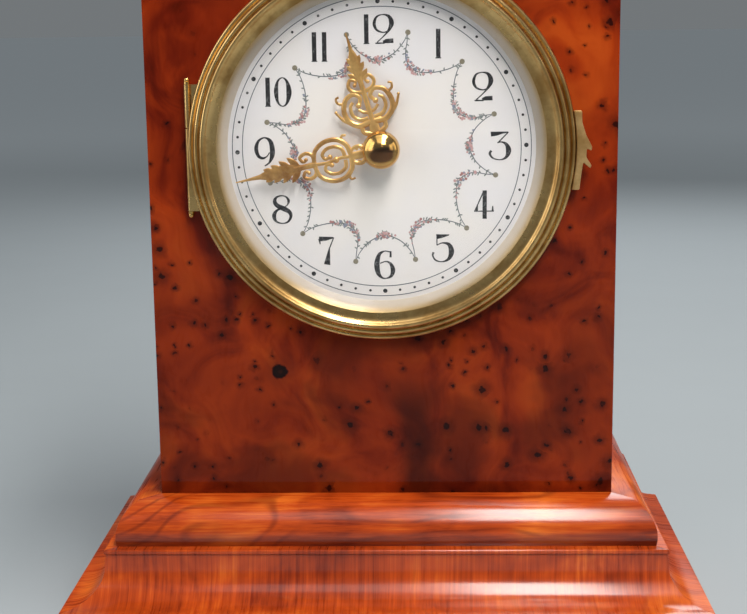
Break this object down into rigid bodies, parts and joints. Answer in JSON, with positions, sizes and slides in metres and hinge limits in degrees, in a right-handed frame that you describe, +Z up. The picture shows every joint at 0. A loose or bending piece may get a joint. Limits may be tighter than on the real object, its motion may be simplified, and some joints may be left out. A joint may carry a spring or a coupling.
{
  "type": "anniversary clock",
  "caption": "Wood-cased mantel clock on a moulded base, with a round white dial behind a hinged brass bezel and a torsion pendulum inside.",
  "frame": {"origin": "centre of the footprint on the surface that the feet stand on", "axes": "+X to the right of the dial, +Y from the dial to the rear door, +Z up"},
  "size_m": [0.196, 0.112, 0.262],
  "materials": {
    "burr_wood": "high-gloss lacquered burr veneer",
    "moulding_wood": "high-gloss lacquered straight and curly grain",
    "plain_wood": "satin lacquer",
    "polished_brass": "polished",
    "gilt": "gilded, pierced and engraved",
    "white_enamel": "gloss enamel with black numerals",
    "clear_glass": "clear, convex",
    "movement_brass": "fine-brushed and lacquered",
    "steel": "satin"
  },
  "bodies": {
    "case": {"feet": "polished_brass", "base_block": "plain_wood", "plinth_front": "moulding_wood", "plinth_left": "moulding_wood", "plinth_right": "moulding_wood", "base_moulding_front": "moulding_wood", "base_moulding_left": "moulding_wood", "base_moulding_right": "moulding_wood", "front_panel": "burr_wood", "side_panel_left": "burr_wood", "side_panel_right": "burr_wood", "case_top": "plain_wood", "back_frame": "plain_wood", "cornice_front": "moulding_wood", "cornice_left": "moulding_wood", "cornice_right": "moulding_wood", "top_cap": "moulding_wood", "door_hinge_frame_leaves": "polished_brass", "door_hinge_pins": "steel", "bezel_base_ring": "polished_brass", "bezel_hinge_pin": "polished_brass", "dial_plate": "white_enamel", "sight_ring": "polished_brass", "front_plate": "movement_brass", "back_plate": "movement_brass", "plate_pillars": "movement_brass", "pillar_nuts": "steel", "mount_screws": "steel", "click_spring": "steel", "suspension_bracket": "movement_brass", "top_block": "steel", "suspension_wire": "steel"},
    "rear_door": {"back_door": "plain_wood", "back_door_knob": "polished_brass", "door_hinge_door_leaves": "polished_brass"},
    "bezel": {"bezel_ring": "polished_brass", "bezel_glass": "clear_glass", "bezel_pull_tab": "polished_brass"},
    "minute_arbor": {"centre_wheel": "movement_brass", "cannon_pinion": "steel", "minute_hand": "gilt", "hand_knob": "polished_brass"},
    "hour_pipe": {"hour_wheel": "movement_brass", "hour_hand": "gilt"},
    "motion_wheel": {"minute_wheel": "movement_brass"},
    "third_arbor": {"third_wheel": "movement_brass"},
    "escape_arbor": {"escape_wheel": "movement_brass"},
    "intermediate_arbor": {"intermediate_wheel": "movement_brass"},
    "second_arbor": {"second_wheel": "movement_brass"},
    "barrel_drum": {"barrel": "movement_brass", "mainspring": "steel"},
    "winding_arbor": {"barrel_arbor": "steel", "ratchet_wheel": "steel", "winding_key": "movement_brass"},
    "click_lever": {"click": "steel"},
    "anchor_arbor": {"anchor": "steel"},
    "fork": {"suspension_fork": "steel"},
    "pendulum": {"bottom_block": "steel", "pendulum_frame": "movement_brass", "pendulum_balls": "movement_brass"}
  },
  "joints": [
    {"name": "rear_door_hinge", "type": "hinge", "parent": "case", "child": "rear_door", "pos_m": [-0.046, 0.0521, 0.13], "axis": [0, 0, 1], "range_deg": [0, 100]},
    {"name": "bezel_hinge", "type": "hinge", "parent": "case", "child": "bezel", "pos_m": [-0.0572, -0.0301, 0.157], "axis": [0, 0, -1], "range_deg": [0, 105]},
    {"name": "minute_turn", "type": "hinge", "parent": "case", "child": "minute_arbor", "pos_m": [0, 0, 0.157], "axis": [0, 1, 0], "continuous": true},
    {"name": "hour_turn", "type": "hinge", "parent": "case", "child": "hour_pipe", "pos_m": [0, 0, 0.157], "axis": [0, 1, 0], "continuous": true},
    {"name": "motion_wheel_turn", "type": "hinge", "parent": "case", "child": "motion_wheel", "pos_m": [0.006, 0, 0.14661], "axis": [0, 1, 0], "continuous": true},
    {"name": "third_turn", "type": "hinge", "parent": "case", "child": "third_arbor", "pos_m": [-0.00797, 0, 0.16971], "axis": [0, 1, 0], "continuous": true},
    {"name": "escape_turn", "type": "hinge", "parent": "case", "child": "escape_arbor", "pos_m": [0, 0, 0.177], "axis": [0, 1, 0], "continuous": true},
    {"name": "intermediate_turn", "type": "hinge", "parent": "case", "child": "intermediate_arbor", "pos_m": [0.01607, 0, 0.15901], "axis": [0, 1, 0], "continuous": true},
    {"name": "second_turn", "type": "hinge", "parent": "case", "child": "second_arbor", "pos_m": [0.01347, 0, 0.14029], "axis": [0, 1, 0], "continuous": true},
    {"name": "barrel_turn", "type": "hinge", "parent": "case", "child": "barrel_drum", "pos_m": [-0.01, 0, 0.134], "axis": [0, 1, 0], "continuous": true},
    {"name": "winding_turn", "type": "hinge", "parent": "case", "child": "winding_arbor", "pos_m": [-0.01, 0, 0.134], "axis": [0, 1, 0], "continuous": true},
    {"name": "click_lift", "type": "hinge", "parent": "case", "child": "click_lever", "pos_m": [-0.0205, 0, 0.137], "axis": [0, -1, 0], "range_deg": [0, 12], "stiffness_Nm_per_rad": 0.0002},
    {"name": "pendulum_swing", "type": "hinge", "parent": "case", "child": "pendulum", "pos_m": [0, 0.0086, 0.1], "axis": [0, 0, 1], "range_deg": [-135, 135], "stiffness_Nm_per_rad": 0.000008},
    {"name": "fork_twist", "type": "hinge", "parent": "case", "child": "fork", "pos_m": [0, 0.0086, 0.1995], "axis": [0, 0, 1], "range_deg": [-9.5, 9.5]},
    {"name": "anchor_rock", "type": "hinge", "parent": "case", "child": "anchor_arbor", "pos_m": [0, 0, 0.189], "axis": [0, 1, 0], "range_deg": [-5, 5]}
  ],
  "couplings": [
    {"joint": "hour_turn", "follows": "minute_turn", "ratio": 0.083333},
    {"joint": "motion_wheel_turn", "follows": "minute_turn", "ratio": -0.33333},
    {"joint": "third_turn", "follows": "minute_turn", "ratio": -4},
    {"joint": "escape_turn", "follows": "minute_turn", "ratio": 12},
    {"joint": "intermediate_turn", "follows": "minute_turn", "ratio": -0.125},
    {"joint": "second_turn", "follows": "minute_turn", "ratio": 0.015625},
    {"joint": "barrel_turn", "follows": "minute_turn", "ratio": -0.0019531},
    {"joint": "fork_twist", "follows": "pendulum_swing", "ratio": 0.066667},
    {"joint": "anchor_rock", "follows": "pendulum_swing", "ratio": 0.035}
  ]
}
